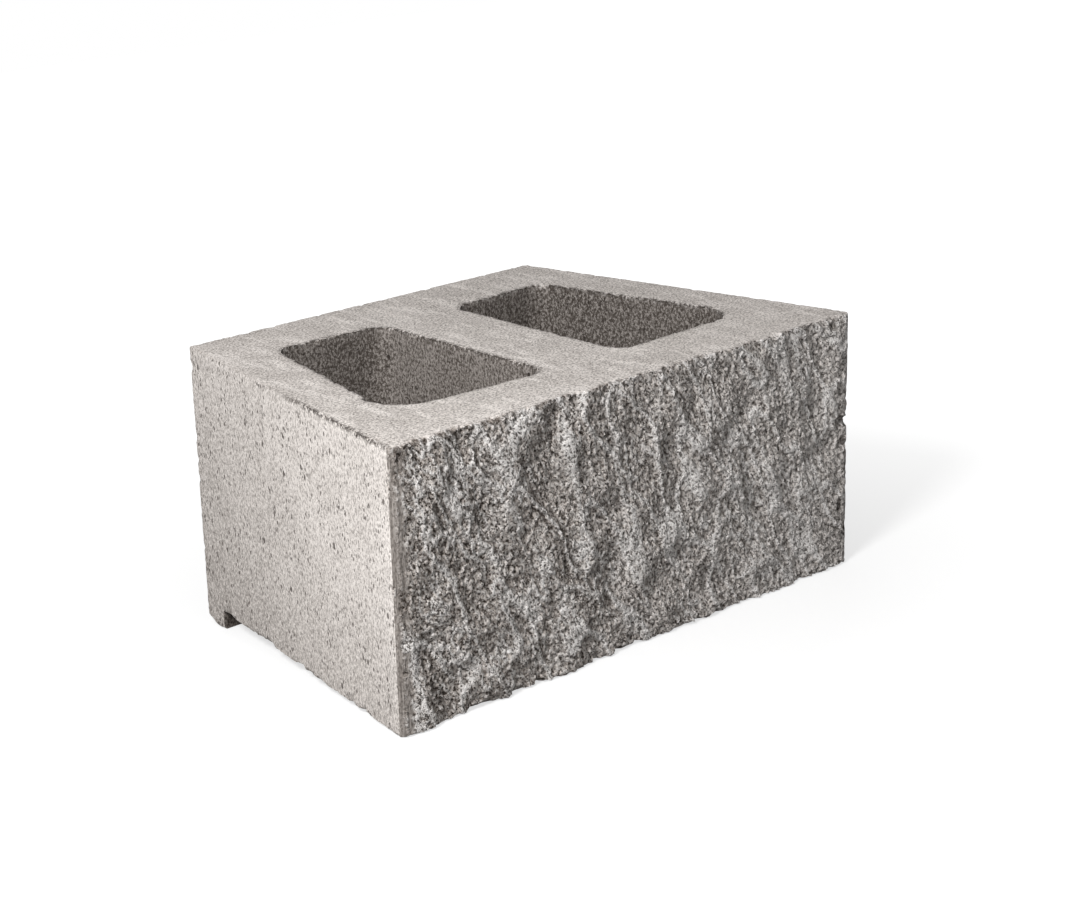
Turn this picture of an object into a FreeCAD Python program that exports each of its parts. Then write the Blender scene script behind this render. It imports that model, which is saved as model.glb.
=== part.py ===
"""Retaining wall block: a dry-cast concrete block with two open cores, a split
front face and a lip along the rear of its underside.

The block is modelled in its laid position, beds level. X runs along the wall,
Y goes from the split face towards the soil, and Z is up. While it is built,
X = 0 is the middle, Y = 0 is the line of the split and Z = 0 is the bottom bed.
The finished block is then moved so that its lowest plane, under the lip, is at
Z = 0 and the middle of its plan is at the origin.
"""

import FreeCAD, Part
import math
import os
import random
import Sketcher
from FreeCAD import Vector

NODE = "retaining_wall_block"

# The driving sizes, in millimetres and degrees: alias, value, what it is.
SIZES = [
    ("face_width", 457, "width at the outer edges of the front corners"),
    ("back_width", 341, "width at the back face"),
    ("block_depth", 305, "split line to back face"),
    ("block_height", 203, "bottom bed to top bed"),
    ("corner_bevel", 5, "moulded 45 degree bevel on each front corner"),
    ("split_stock", 20, "concrete in front of the split line before the split"),
    ("lip_thickness", 28, "rear lip, front to back"),
    ("lip_drop", 15, "rear lip, below the bottom bed"),
    ("lip_chamfer_run", 14, "chamfer under the back of the lip, along Y"),
    ("lip_chamfer_rise", 4, "chamfer under the back of the lip, along Z"),
    ("web_thickness", 73, "concrete between the cores"),
    ("front_wall", 58, "split line to core, beside the web"),
    ("back_wall", 62, "core to back face, beside the web"),
    ("side_wall_front", 43, "core to side face, along X, at the core's front"),
    ("side_wall_back", 49, "core to side face, along X, at the core's back"),
    ("core_skew", 3, "angle of the core's front and back walls to X"),
    ("core_radius", 16, "corner radius of a core at the top bed"),
    ("core_front_radius", 28, "radius of a core's outer front corner, there"),
    ("core_draft", 1.5, "draft of the core walls, which open downwards"),
    ("ridge_spacing", 78, "distance between the large ridges of the split"),
    ("ridge_lean", 24, "lean of the ridges, their tops towards the left"),
    ("ridge_height", 4.5, "hollow to crest of the large ridges"),
    ("scallop_spacing", 46, "distance between the scallops across the ridges"),
    ("scallop_lean", -38, "lean of the edges of the scallops"),
    ("scallop_height", 2.5, "hollow to crest of the scallops"),
    ("ridge_wander", 14, "sideways wander of ridges and scallops"),
    ("wander_length", 130, "length of one wander along a ridge"),
    ("dish_width", 23, "mean width of the dishes, across the ridges"),
    ("dish_length", 33, "mean length of the dishes, along the ridges"),
    ("dish_depth", 3.6, "depth of a dish in its middle"),
    ("crest_flank", 10, "width of a single crest's flank"),
    ("split_proud", 3.5, "highest crests, in front of the split line"),
    ("split_margin", 18, "strip at each bevel in which the relief fades out"),
    ("facet_size", 7.5, "mean size of the facets of the split"),
    ("facet_stray", 2, "how far a facet's corner strays from its even place"),
]

# Single crests that stand out from the split: the places, X and Z in millimetres,
# that each one runs through, and its height.
CRESTS = [
    ([(-144, 192), (-125, 157), (-129, 146)], 2.6),
    ([(-76, 185), (-70, 158), (-71, 148), (-66, 136), (-55, 93)], 2.8),
    ([(-192, 177), (-182, 157), (-167, 142), (-161, 134)], 2.4),
    ([(65, 171), (80, 147)], 2.2),
    ([(85, 108), (98, 100)], 2.2),
    ([(11, 161), (13, 149)], 2.4),
    ([(-112, 75), (-117, 57)], 2.0),
    ([(-177, 44), (-164, 32), (-169, 20)], 2.2),
]

# Share of a ridge's width taken by its steep side, which faces left.
STEEP_SHARE = 0.3

# Distance between the middles of dishes, in cells, at which both run out.
DISH_REACH = 0.8

# Start of the chance sequence that places the dishes and strays the facets' corners.
SPLIT_SEED = 7

# Places closer to each other than this, in millimetres, count as the same.
TOUCH = 0.01

# Radii of a core's corners, anticlockwise from the front corner beside the web.
CORE_RADII = ["Sizes.core_radius", "Sizes.core_front_radius"] + ["Sizes.core_radius"] * 2

# The side faces close in by this much each, for every millimetre of depth.
SIDE_SLOPE = ("((Sizes.face_width - Sizes.back_width) / 2"
              " / (Sizes.block_depth - Sizes.corner_bevel))")


def fill_sheet(doc):
    """Write the driving sizes into the sheet, one row each, and name their cells."""
    sheet = doc.addObject("Spreadsheet::Sheet", "Sizes")
    for row, (alias, value, note) in enumerate(SIZES, start=1):
        sheet.set(f"A{row}", alias)
        sheet.set(f"B{row}", str(value))
        sheet.set(f"C{row}", note)
        sheet.setAlias(f"B{row}", alias)
    doc.recompute()
    return sheet


def side_x(y):
    """Give the expression for a side face's X at the expression y."""
    return f"(Sizes.face_width / 2 - {SIDE_SLOPE} * ({y} - Sizes.corner_bevel))"


def mirrored_places(half):
    """Complete an outline whose right half runs from its front to its back."""
    return half + [(f"-({x})", y) for x, y in reversed(half)]


def plan_places():
    """Give the corners of the cast block's plan, with the stock that splits off.

    The bevels run on past the split line: they are the flanks of the grooves
    that guide the split.
    """
    groove_x = "Sizes.face_width / 2 - Sizes.corner_bevel - Sizes.split_stock"
    return mirrored_places([
        (groove_x, "-Sizes.split_stock"),
        ("Sizes.face_width / 2", "Sizes.corner_bevel"),
        ("Sizes.back_width / 2", "Sizes.block_depth"),
    ])


def lip_places():
    """Give the corners of the lip's plan: it follows the sides and the back face."""
    lip_front = "(Sizes.block_depth - Sizes.lip_thickness)"
    return mirrored_places([
        (side_x(lip_front), lip_front),
        ("Sizes.back_width / 2", "Sizes.block_depth"),
    ])


def core_places():
    """Give the corners of the right core's plan at the top bed, before rounding.

    They run anticlockwise from the front corner beside the web.
    """
    inner_x = "(Sizes.web_thickness / 2)"
    skew = "tan(Sizes.core_skew)"
    front_y = "Sizes.front_wall"
    back_y = "(Sizes.block_depth - Sizes.back_wall)"

    def outer_corner(inner_y, side_wall):
        side_at_inner = side_x(f"({inner_y} - {inner_x} * {skew})")
        outer_x = f"(({side_at_inner} - {side_wall}) / (1 + {SIDE_SLOPE} * {skew}))"
        return outer_x, f"({inner_y} + ({outer_x} - {inner_x}) * {skew})"

    return [
        (inner_x, front_y),
        outer_corner(front_y, "Sizes.side_wall_front"),
        outer_corner(back_y, "Sizes.side_wall_back"),
        (inner_x, back_y),
    ]


def origin_plane(body, role):
    """Return the body's own origin plane that has this role."""
    return next(plane for plane in body.Origin.OriginFeatures if plane.Role == role)


def plan_sketch(body, name, height):
    """Start a level sketch at the height that an expression gives."""
    sketch = body.newObject("Sketcher::SketchObject", name)
    sketch.AttachmentSupport = [(origin_plane(body, "XY_Plane"), "")]
    sketch.MapMode = "FlatFace"
    sketch.setExpression("AttachmentOffset.Base.z", height)
    return sketch


def point_at(sheet, place):
    """Work out the point that a pair of expressions gives."""
    x, y = [float(sheet.evalExpression(size)) for size in place]
    return Vector(x, y, 0)


def hold(sketch, geometry, end, place):
    """Hold a point of a sketch at the place that a pair of expressions gives."""
    now = sketch.getPoint(geometry, end)
    for kind, value, size in (("DistanceX", now.x, place[0]), ("DistanceY", now.y, place[1])):
        index = sketch.addConstraint(Sketcher.Constraint(kind, -1, 1, geometry, end, value))
        sketch.setExpression(f"Constraints[{index}]", size)


def draw_outline(sketch, sheet, places):
    """Draw a closed outline of straight lines, its corners held at the places."""
    corners = [point_at(sheet, place) for place in places]
    count = len(corners)
    for i in range(count):
        sketch.addGeometry(Part.LineSegment(corners[i], corners[(i + 1) % count]), False)
    for i in range(count):
        sketch.addConstraint(Sketcher.Constraint("Coincident", i, 2, (i + 1) % count, 1))
    for i, place in enumerate(places):
        hold(sketch, i, 1, place)


def draw_rounded_outline(sketch, sheet, places, radii):
    """Draw a closed outline, anticlockwise, with a rounded corner at each place.

    The line from corner i and the arc after it are elements 2i and 2i + 1. The
    sharp corners stay in the sketch as points that hold the lines in place.
    """
    corners = [point_at(sheet, place) for place in places]
    count = len(corners)
    rounds = [float(sheet.evalExpression(radius)) for radius in radii]
    sides = [(corners[(i + 1) % count] - corners[i]).normalize() for i in range(count)]
    half_turns = [sides[i - 1].getAngle(sides[i]) / 2 for i in range(count)]
    for i in range(count):
        following = (i + 1) % count
        corner = corners[following]
        cut = rounds[following] * math.tan(half_turns[following])
        start = corners[i] + sides[i] * rounds[i] * math.tan(half_turns[i])
        finish = corner - sides[i] * cut
        leave = corner + sides[following] * cut
        inward = (sides[following] - sides[i]).normalize()
        middle = corner + inward * rounds[following] * (1 / math.cos(half_turns[following]) - 1)
        sketch.addGeometry(Part.LineSegment(start, finish), False)
        sketch.addGeometry(Part.Arc(finish, middle, leave), False)
    for i in range(count):
        line, arc, next_line = 2 * i, 2 * i + 1, 2 * ((i + 1) % count)
        sketch.addConstraint(Sketcher.Constraint("Tangent", line, 2, arc, 1))
        sketch.addConstraint(Sketcher.Constraint("Tangent", arc, 2, next_line, 1))
        following = (i + 1) % count
        index = sketch.addConstraint(Sketcher.Constraint("Radius", arc, rounds[following]))
        sketch.setExpression(f"Constraints[{index}]", radii[following])
    for i, place in enumerate(places):
        point = sketch.addGeometry(Part.Point(corners[i]), True)
        for line in (2 * i, 2 * ((i - 1) % count)):
            sketch.addConstraint(Sketcher.Constraint("PointOnObject", point, 1, line))
        hold(sketch, point, 1, place)


def edge_at(feature, y, z):
    """Name the edge of a feature that lies along X at this y and z."""
    for number, edge in enumerate(feature.Shape.Edges, start=1):
        if all(abs(v.Y - y) < TOUCH and abs(v.Z - z) < TOUCH for v in edge.Vertexes):
            return f"Edge{number}"
    raise RuntimeError(f"{feature.Label} has no edge at y {y}, z {z}")


def cast_block(doc, sheet):
    """Build the block as it leaves the mould: bevels, lip and both cores."""
    body = doc.addObject("PartDesign::Body", "CastBlock")

    plan = plan_sketch(body, "Plan", "0")
    draw_outline(plan, sheet, plan_places())
    block = body.newObject("PartDesign::Pad", "Block")
    block.Profile = plan
    block.setExpression("Length", "Sizes.block_height")

    lip_plan = plan_sketch(body, "LipPlan", "0")
    draw_outline(lip_plan, sheet, lip_places())
    lip = body.newObject("PartDesign::Pad", "Lip")
    lip.Profile = lip_plan
    lip.Reversed = True
    lip.setExpression("Length", "Sizes.lip_drop")
    doc.recompute()

    chamfer = body.newObject("PartDesign::Chamfer", "LipChamfer")
    chamfer.Base = (lip, [edge_at(lip, sheet.block_depth, -sheet.lip_drop)])
    chamfer.ChamferType = "Two distances"
    chamfer.setExpression("Size", "Sizes.lip_chamfer_run")
    chamfer.setExpression("Size2", "Sizes.lip_chamfer_rise")

    core_plan = plan_sketch(body, "CorePlan", "Sizes.block_height")
    draw_rounded_outline(core_plan, sheet, core_places(), CORE_RADII)
    core = body.newObject("PartDesign::Pocket", "RightCore")
    core.Profile = core_plan
    core.setExpression("Length", "Sizes.block_height + Sizes.lip_drop")
    core.setExpression("TaperAngle", "Sizes.core_draft")
    doc.recompute()

    mirror = body.newObject("PartDesign::Mirrored", "LeftCore")
    mirror.Originals = [core]
    mirror.MirrorPlane = (origin_plane(body, "YZ_Plane"), [""])
    body.Tip = mirror
    doc.recompute()
    return body


def saw(place, steep):
    """Wave of length 1 from hollow, 0, to crest, 1, that climbs over the share steep."""
    phase = place - math.floor(place)
    if phase < steep:
        return phase / steep
    return (1 - phase) / (1 - steep)


def leaning(x, z, lean):
    """Give the distances across and along a direction that leans by so many degrees."""
    angle = math.radians(lean)
    across = x * math.cos(angle) + z * math.sin(angle)
    along = z * math.cos(angle) - x * math.sin(angle)
    return across, along


def scatter_dishes(sheet, chance):
    """Give the middle of the dish in each cell, in cells across and along the ridges."""
    reach = math.ceil((sheet.face_width + sheet.block_height) / sheet.dish_width)
    cells = range(-reach, reach + 1)
    return {(i, j): (i + chance.random(), j + chance.random()) for i in cells for j in cells}


def dish(sheet, dishes, x, z):
    """Depth of the dish at a place, which runs out where two dishes meet."""
    across, along = leaning(x, z, sheet.ridge_lean)
    u, v = across / sheet.dish_width, along / sheet.dish_length
    i, j = math.floor(u), math.floor(v)
    near = [dishes[i + a, j + b] for a in (-1, 0, 1) for b in (-1, 0, 1)]
    gap = min(math.hypot(middle_u - u, middle_v - v) for middle_u, middle_v in near)
    return sheet.dish_depth * max(0, 1 - gap / DISH_REACH)


def crest(sheet, x, z):
    """Height at a place of the highest single crest, which falls off from its path."""
    highest = 0
    for path, height in CRESTS:
        for (x0, z0), (x1, z1) in zip(path, path[1:]):
            run, rise = x1 - x0, z1 - z0
            share = ((x - x0) * run + (z - z0) * rise) / (run ** 2 + rise ** 2)
            share = min(1, max(0, share))
            gap = math.hypot(x - x0 - share * run, z - z0 - share * rise)
            highest = max(highest, height * (1 - gap / sheet.crest_flank))
    return highest


def relief(sheet, dishes, x, z):
    """Give the split surface's Y at a place of the face, less than 0 at a crest.

    Long ridges lean to the left, shorter scallops cross them, and dishes lie
    between them. Ridges and scallops wander, and all fade out towards the
    bevels, where the split starts from a groove.
    """
    def wave(spacing, lean):
        across, along = leaning(x, z, lean)
        shift = sheet.ridge_wander * math.sin(math.tau * along / sheet.wander_length)
        return saw((across + shift) / spacing, STEEP_SHARE)

    depth = sheet.ridge_height * (1 - wave(sheet.ridge_spacing, sheet.ridge_lean))
    depth += sheet.scallop_height * (1 - wave(sheet.scallop_spacing, sheet.scallop_lean))
    depth += dish(sheet, dishes, x, z) - crest(sheet, x, z)
    to_bevel = sheet.face_width / 2 - sheet.corner_bevel - abs(x)
    fade = min(1, max(0, to_bevel / sheet.split_margin))
    return (max(0, depth) - sheet.split_proud) * fade


def grid_lines(start, end, spacing):
    """Divide a length into whole steps of about the spacing."""
    steps = max(3, round((end - start) / spacing))
    return [start + (end - start) * i / steps for i in range(steps + 1)]


def split_corners(sheet):
    """Give the corners of the split's facets, column by column, past the block all round."""
    chance = random.Random(SPLIT_SEED)
    dishes = scatter_dishes(sheet, chance)
    margin = sheet.facet_size
    half_width = sheet.face_width / 2 + margin
    columns = grid_lines(-half_width, half_width, sheet.facet_size)
    rows = grid_lines(-sheet.lip_drop - margin, sheet.block_height + margin, sheet.facet_size)
    corners = []
    for x in columns:
        column = []
        for z in rows:
            inside = columns[0] < x < columns[-1] and rows[0] < z < rows[-1]
            stray = sheet.facet_stray if inside else 0
            moved_x = x + chance.uniform(-stray, stray)
            moved_z = z + chance.uniform(-stray, stray)
            column.append(Vector(moved_x, relief(sheet, dishes, moved_x, moved_z), moved_z))
        corners.append(column)
    return corners


def face_through(points):
    """Make the flat face whose outline runs through the points."""
    return Part.Face(Part.makePolygon(points + points[:1]))


def split_waste(doc, sheet):
    """Make what breaks away in front of the split: facets behind, flat elsewhere."""
    corners = split_corners(sheet)
    faces = []
    for column, next_column in zip(corners, corners[1:]):
        for j in range(len(column) - 1):
            diagonal = [column[j + 1], next_column[j]]
            faces.append(face_through([column[j]] + diagonal[::-1]))
            faces.append(face_through([next_column[j + 1]] + diagonal))
    front_y = -2 * sheet.split_stock
    rims = [
        [column[0] for column in corners],
        corners[-1],
        [column[-1] for column in reversed(corners)],
        corners[0][::-1],
    ]
    for rim in rims:
        ends = [Vector(point.x, front_y, point.z) for point in (rim[-1], rim[0])]
        faces.append(face_through(rim + ends))
    faces.append(face_through([Vector(rim[0].x, front_y, rim[0].z) for rim in rims]))
    waste = doc.addObject("Part::Feature", "SplitWaste")
    waste.Shape = Part.makeSolid(Part.makeShell(faces))
    return waste


def split_block(doc, body, waste):
    """Split the cast block and set it down on its lip, centred on the origin."""
    block = doc.addObject("Part::Cut", "SplitBlock")
    block.Base = body
    block.Tool = waste
    block.Label = NODE
    block.setExpression("Placement.Base.y", "(Sizes.split_proud - Sizes.block_depth) / 2")
    block.setExpression("Placement.Base.z", "Sizes.lip_drop")
    doc.recompute()
    return block


def check(doc, block):
    """Stop if any object failed to build or the block isn't one valid solid."""
    for item in doc.Objects:
        if "Invalid" in item.State or "Error" in item.State:
            raise RuntimeError(f"{item.Label} did not build: {item.State}")
    if block.Shape.isNull() or not block.Shape.isValid() or len(block.Shape.Solids) != 1:
        raise RuntimeError(f"{block.Label} is not one valid solid")


doc = FreeCAD.newDocument("RetainingWallBlock")
sizes = fill_sheet(doc)
cast = cast_block(doc, sizes)
waste = split_waste(doc, sizes)
block = split_block(doc, cast, waste)
check(doc, block)

os.makedirs("parts", exist_ok=True)
block.Shape.exportStep(f"parts/{NODE}.step")
print(f"{block.Label}: {block.Shape.Volume / 1e6:.3f} litres")
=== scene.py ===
"""Retaining wall block of dry-cast concrete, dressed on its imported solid.

One closed mesh replaces the solid. It keeps the solid's faces and adds what the
solid leaves out: the grain of the split face, worn and chipped edges, and the
slight unevenness of the moulded faces. Lengths are millimetres in the frame of
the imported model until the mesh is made, and metres from there on.
"""

import math

import bmesh
import bpy
import numpy as np
from mathutils import Matrix, Vector
from mathutils.bvhtree import BVHTree
from mathutils.geometry import delaunay_2d_cdt
from mathutils.kdtree import KDTree


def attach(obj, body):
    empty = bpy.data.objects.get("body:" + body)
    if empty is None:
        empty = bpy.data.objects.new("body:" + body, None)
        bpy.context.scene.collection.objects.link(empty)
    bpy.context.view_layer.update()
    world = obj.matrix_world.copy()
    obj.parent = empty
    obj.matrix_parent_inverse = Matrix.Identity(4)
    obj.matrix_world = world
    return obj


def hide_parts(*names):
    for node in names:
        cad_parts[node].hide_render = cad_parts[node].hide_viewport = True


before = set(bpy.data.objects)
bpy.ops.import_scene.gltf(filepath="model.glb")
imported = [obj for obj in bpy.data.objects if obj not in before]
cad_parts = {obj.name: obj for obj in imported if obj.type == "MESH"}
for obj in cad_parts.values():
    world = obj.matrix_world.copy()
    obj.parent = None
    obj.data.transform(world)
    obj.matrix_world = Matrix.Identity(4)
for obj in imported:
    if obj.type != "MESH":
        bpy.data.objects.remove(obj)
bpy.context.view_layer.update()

NODE = "retaining_wall_block"
MM = 0.001

# The block's main places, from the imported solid.
TOP = 218.0
BED = 15.0
SPLIT_Y = -150.75
BACK_Y = 154.25
FACE_HALF = 228.5
BACK_HALF = 170.5
BEVEL = 5.0
BEVEL_Y = SPLIT_Y + BEVEL
SPLIT_HALF = FACE_HALF - BEVEL
LIP_Y = 126.25
CHAMFER_Y = 140.25
CHAMFER_Z = 4.0

SIDE_RUN = BACK_Y - BEVEL_Y
SIDE_DRIFT = FACE_HALF - BACK_HALF
SIDE_LENGTH = math.hypot(SIDE_RUN, SIDE_DRIFT)

# Skew of the core's front and rear walls, draft of all its walls, and the radii of its
# corners. The block's walls round it: half the web, front, rear, and side at both ends.
CORE_SKEW = math.radians(3.0)
CORE_DRAFT = math.tan(math.radians(1.5))
CORE_RADII = (16.0, 28.0, 16.0, 16.0)
WEB_HALF = 36.5
FRONT_WALL = 58
REAR_WALL = 62
SIDE_WALLS = (43, 49)

# Lean of the split's grain from upright, in degrees, and the foremost that it reaches.
LEAN = 28
CREST_LIMIT = -3.1

# How far from an edge its wear may reach, and how far all points keep inside the box.
EDGE_REACH = 14.0
CLEAR = 0.01

# Spacing of the mesh on the split face and along other edges. Inside flat faces, each
# row has a spacing and the distances from the edge between which it is used.
SPLIT_STEP = 1.22
EDGE_STEP = 2.6
FLAT_STEPS = ((2.8, 1.9, 6.5), (5.5, 5.5, 20.0), (11.0, 18.0, 1e9))
CORE_STEPS = ((3.0, 2.1, 6.5), (5.2, 5.2, 1e9))


# Tables of the noise.
TABLE = 256
MASK = TABLE - 1
chance = np.random.default_rng(11)
SHUFFLE = chance.permutation(TABLE)
GRADIENTS = chance.normal(size=(TABLE, 3))
GRADIENTS /= np.linalg.norm(GRADIENTS, axis=1)[:, None]
JITTERS = chance.random((TABLE, 3))


def lattice(i, j, k):
    """Entry of the tables that belongs to a cell."""
    return SHUFFLE[(SHUFFLE[(SHUFFLE[i & MASK] + j) & MASK] + k) & MASK]


def noise(x, y, z, seed):
    """Gradient noise, about -1 to 1, at points given in cells."""
    p = np.stack(np.broadcast_arrays(x, y, z), axis=1) + seed * 17.37
    cell = np.floor(p).astype(int)
    part = p - cell
    ease = part ** 3 * (part * (part * 6 - 15) + 10)
    total = 0.0
    for dx in (0, 1):
        for dy in (0, 1):
            for dz in (0, 1):
                corner = np.array((dx, dy, dz))
                key = lattice(*(cell + corner).T)
                weight = np.prod(np.where(corner, ease, 1 - ease), axis=1)
                total = total + weight * np.sum(GRADIENTS[key] * (part - corner), axis=1)
    return total * 1.7


def cells(x, z, seed):
    """Distance to the nearest seed point of a jittered grid, and its key."""
    p = np.stack((x, z), axis=1)
    cell = np.floor(p).astype(int)
    nearest = np.full(len(p), 9.0)
    own = np.zeros(len(p), dtype=int)
    for dx in (-1, 0, 1):
        for dz in (-1, 0, 1):
            other = cell + (dx, dz)
            key = lattice(other[:, 0], other[:, 1], seed)
            gap = np.linalg.norm(other + JITTERS[key][:, :2] - p, axis=1)
            closer = gap < nearest
            own = np.where(closer, key, own)
            nearest = np.where(closer, gap, nearest)
    return nearest, own


def smooth_step(low, high, value):
    """0 at low and beyond, 1 at high and beyond, with a smooth change between."""
    t = np.clip((value - low) / (high - low), 0, 1)
    return t * t * (3 - 2 * t)


# Crests of the split that stand out, as (x, z) places with their height and the
# widths of their left and right flanks.
CRESTS = (
    (((-144, 207), (-125, 172), (-129, 161)), 1.5, 2.4, 6.0),
    (((-76, 200), (-70, 173), (-71, 163), (-66, 151), (-55, 108)), 1.7, 2.6, 7.0),
    (((-192, 192), (-182, 172), (-167, 157), (-161, 149)), 1.5, 2.4, 6.0),
    (((65, 186), (80, 162)), 1.4, 2.4, 6.0),
    (((85, 123), (98, 115)), 1.4, 2.4, 5.0),
    (((11, 176), (13, 164)), 1.6, 2.2, 5.0),
    (((-112, 90), (-117, 72)), 1.3, 2.2, 5.0),
    (((-177, 59), (-164, 47), (-169, 35)), 1.5, 2.0, 5.0),
    (((-65, 50), (-62, 42)), 1.6, 2.2, 5.0),
    (((-30, 76), (-27, 69)), 1.6, 2.2, 5.0),
)

# Single hollows of the split: x, z, radius, depth.
HOLLOWS = (
    (-173, 44, 9.0, 2.6),
    (-60, 214, 6.0, 3.5),
    (-112, 168, 11.0, 1.8),
    (30, 150, 12.0, 2.0),
    (120, 90, 12.0, 2.2),
    (-30, 60, 10.0, 1.8),
)


def coarse_relief():
    """Sample the solid's split face, softened across its facets."""
    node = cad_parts[NODE]
    places = [node.matrix_world @ v.co for v in node.data.vertices]
    tree = BVHTree.FromPolygons(places, [tuple(f.vertices) for f in node.data.polygons])
    xs = np.arange(-223.0, 223.1, 2.0)
    zs = np.linspace(BED + 0.3, TOP - 0.3, 102)
    grid = np.zeros((len(xs), len(zs)))
    before = -0.3
    for i, x in enumerate(xs):
        for j, z in enumerate(zs):
            hit = tree.ray_cast(Vector((x * MM, before, z * MM)), Vector((0, 1, 0)))[0]
            grid[i, j] = hit.y / MM - SPLIT_Y
    reach = 5
    kernel = np.exp(-0.5 * (np.arange(-reach, reach + 1) / 1.15) ** 2)
    kernel /= kernel.sum()
    for axis in (0, 1):
        pad = [(reach, reach) if a == axis else (0, 0) for a in (0, 1)]
        wide = np.pad(grid, pad, mode="edge")
        grid = sum(k * np.take(wide, range(s, s + grid.shape[axis]), axis=axis)
                   for s, k in enumerate(kernel))
    return xs, zs, grid


RELIEF_X, RELIEF_Z, RELIEF = coarse_relief()


def coarse(x, z):
    """Look the softened relief up between its samples."""
    u = np.clip((x - RELIEF_X[0]) / (RELIEF_X[1] - RELIEF_X[0]), 0, len(RELIEF_X) - 1.001)
    v = np.clip((z - RELIEF_Z[0]) / (RELIEF_Z[1] - RELIEF_Z[0]), 0, len(RELIEF_Z) - 1.001)
    i, j = u.astype(int), v.astype(int)
    a, b = u - i, v - j
    near = RELIEF[i, j] * (1 - b) + RELIEF[i, j + 1] * b
    far = RELIEF[i + 1, j] * (1 - b) + RELIEF[i + 1, j + 1] * b
    return near * (1 - a) + far * a


def crest(x, z, path, height, left, right):
    """Raise a crest along a path, steeper on its left flank."""
    best = np.full(len(x), 1e9)
    side = np.zeros(len(x))
    for (x0, z0), (x1, z1) in zip(path, path[1:]):
        ax, az = x1 - x0, z1 - z0
        t = np.clip(((x - x0) * ax + (z - z0) * az) / (ax * ax + az * az), 0, 1)
        gap = np.hypot(x - x0 - t * ax, z - z0 - t * az)
        closer = gap < best
        best = np.where(closer, gap, best)
        side = np.where(closer, ax * (z - z0) - az * (x - x0), side)
    width = np.where(side < 0, left, right)
    return height * np.exp(-(best / width) ** 1.5)


def border(z, seed):
    """How far back the split runs at a bevel."""
    zero = np.zeros_like(z)
    wide, narrow = noise(z / 10, zero, zero, seed), noise(z / 3.3, zero, zero, seed + 1)
    return 0.7 + 0.7 * wide + 0.5 * narrow


def lean_axes(x, z):
    """Swaying places on the split face, and the same along its leaning grain."""
    zero = np.zeros_like(x)
    sway_x = x + 5 * noise(x / 33, z / 33, zero, 1)
    sway_z = z + 5 * noise(x / 33, z / 33, zero, 2)
    lean = math.radians(LEAN)
    across = sway_x * math.cos(lean) + sway_z * math.sin(lean)
    along = sway_z * math.cos(lean) - sway_x * math.sin(lean)
    return sway_x, sway_z, across + 1.4 * noise(x / 7, z / 7, zero, 3), along


def ridges(across, along):
    """Wide and narrow ridges of the split, 1 on their crests."""
    zero = np.zeros_like(across)
    wide = 1 - np.abs(noise(across / 19, along / 52, zero, 4))
    narrow = 1 - np.abs(noise(across / 8, along / 21, zero, 5))
    return wide, narrow


def relief(x, z):
    """Depth of the split face behind the split line, in millimetres."""
    zero = np.zeros_like(x)
    sway_x, sway_z, across, along = lean_axes(x, z)
    wide, narrow = ridges(across, along)
    depth = -2.2 * (wide ** 6 - 0.25) - 1.3 * (narrow ** 4 - 0.35)

    for path, height, left, right in CRESTS:
        depth = depth - crest(sway_x, sway_z, path, height, left, right)
    for hx, hz, radius, deep in HOLLOWS:
        gap = np.hypot(sway_x - hx, sway_z - hz) / radius
        depth = depth + deep * np.exp(-gap ** 3)

    lump, key = cells(across / 4.0, along / 5.6, 6)
    size = 0.25 + 1.3 * JITTERS[key][:, 2]
    depth = depth - 1.7 * size * (0.55 - lump)
    grain, key = cells(across / 2.4, along / 3.1, 7)
    depth = depth - 1.5 * (0.3 + JITTERS[key][:, 2]) * (0.5 - grain)
    depth = depth + 0.7 * noise(across / 2.6, along / 3.4, zero, 8)

    pit, key = cells(x / 12, z / 12, 9)
    here = JITTERS[key][:, 2] > 0.9
    depth = depth + np.where(here, 2.0 * (1 - smooth_step(0.06, 0.2, pit)), 0)

    total = coarse(x, z) + depth
    total = CREST_LIMIT + np.logaddexp(0, (total - CREST_LIMIT) / 0.5) * 0.5
    to_bevel = SPLIT_HALF - np.abs(x)
    ragged = 1.5 * noise(x / 5, z / 5, zero, 10) * (to_bevel > 0)
    fade = smooth_step(0, np.where(x > 0, 5.0, 15.0), to_bevel + ragged)
    return total * fade + border(z, 12) * (1 - fade)


def on_split(x, z):
    """Put places of the split face on its relief; its rims follow the bevels."""
    back = border(z, 12)
    return np.stack((x * (1 + back / SPLIT_HALF), SPLIT_Y + relief(x, z), z), axis=1)


def side_at(y):
    """Half-width of the block between its sides."""
    return FACE_HALF - SIDE_DRIFT * (y - BEVEL_Y) / SIDE_RUN


def core_corners():
    """Corners of the right core at the top bed, anticlockwise from the front of the web."""
    tangent = math.tan(CORE_SKEW)
    slope = SIDE_DRIFT / SIDE_RUN

    def outer(inner_y, wall):
        x = (side_at(inner_y - WEB_HALF * tangent) - wall) / (1 + slope * tangent)
        return x, inner_y + (x - WEB_HALF) * tangent

    front, rear = SPLIT_Y + FRONT_WALL, BACK_Y - REAR_WALL
    return np.array(((WEB_HALF, front), outer(front, SIDE_WALLS[0]),
                     outer(rear, SIDE_WALLS[1]), (WEB_HALF, rear)))


CORE = core_corners()
CORE_ALONG = np.roll(CORE, -1, axis=0) - CORE
CORE_SIDES = np.linalg.norm(CORE_ALONG, axis=1)
CORE_ALONG /= CORE_SIDES[:, None]
CORE_OUT = np.stack((CORE_ALONG[:, 1], -CORE_ALONG[:, 0]), axis=1)


def core_centres():
    """Centres of the core's rounded corners."""
    centres = []
    for i in range(4):
        normals = np.stack((CORE_OUT[i - 1], CORE_OUT[i]))
        centres.append(CORE[i] + np.linalg.solve(normals, (-CORE_RADII[i],) * 2))
    return np.array(centres)


CORE_CENTRES = core_centres()


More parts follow.
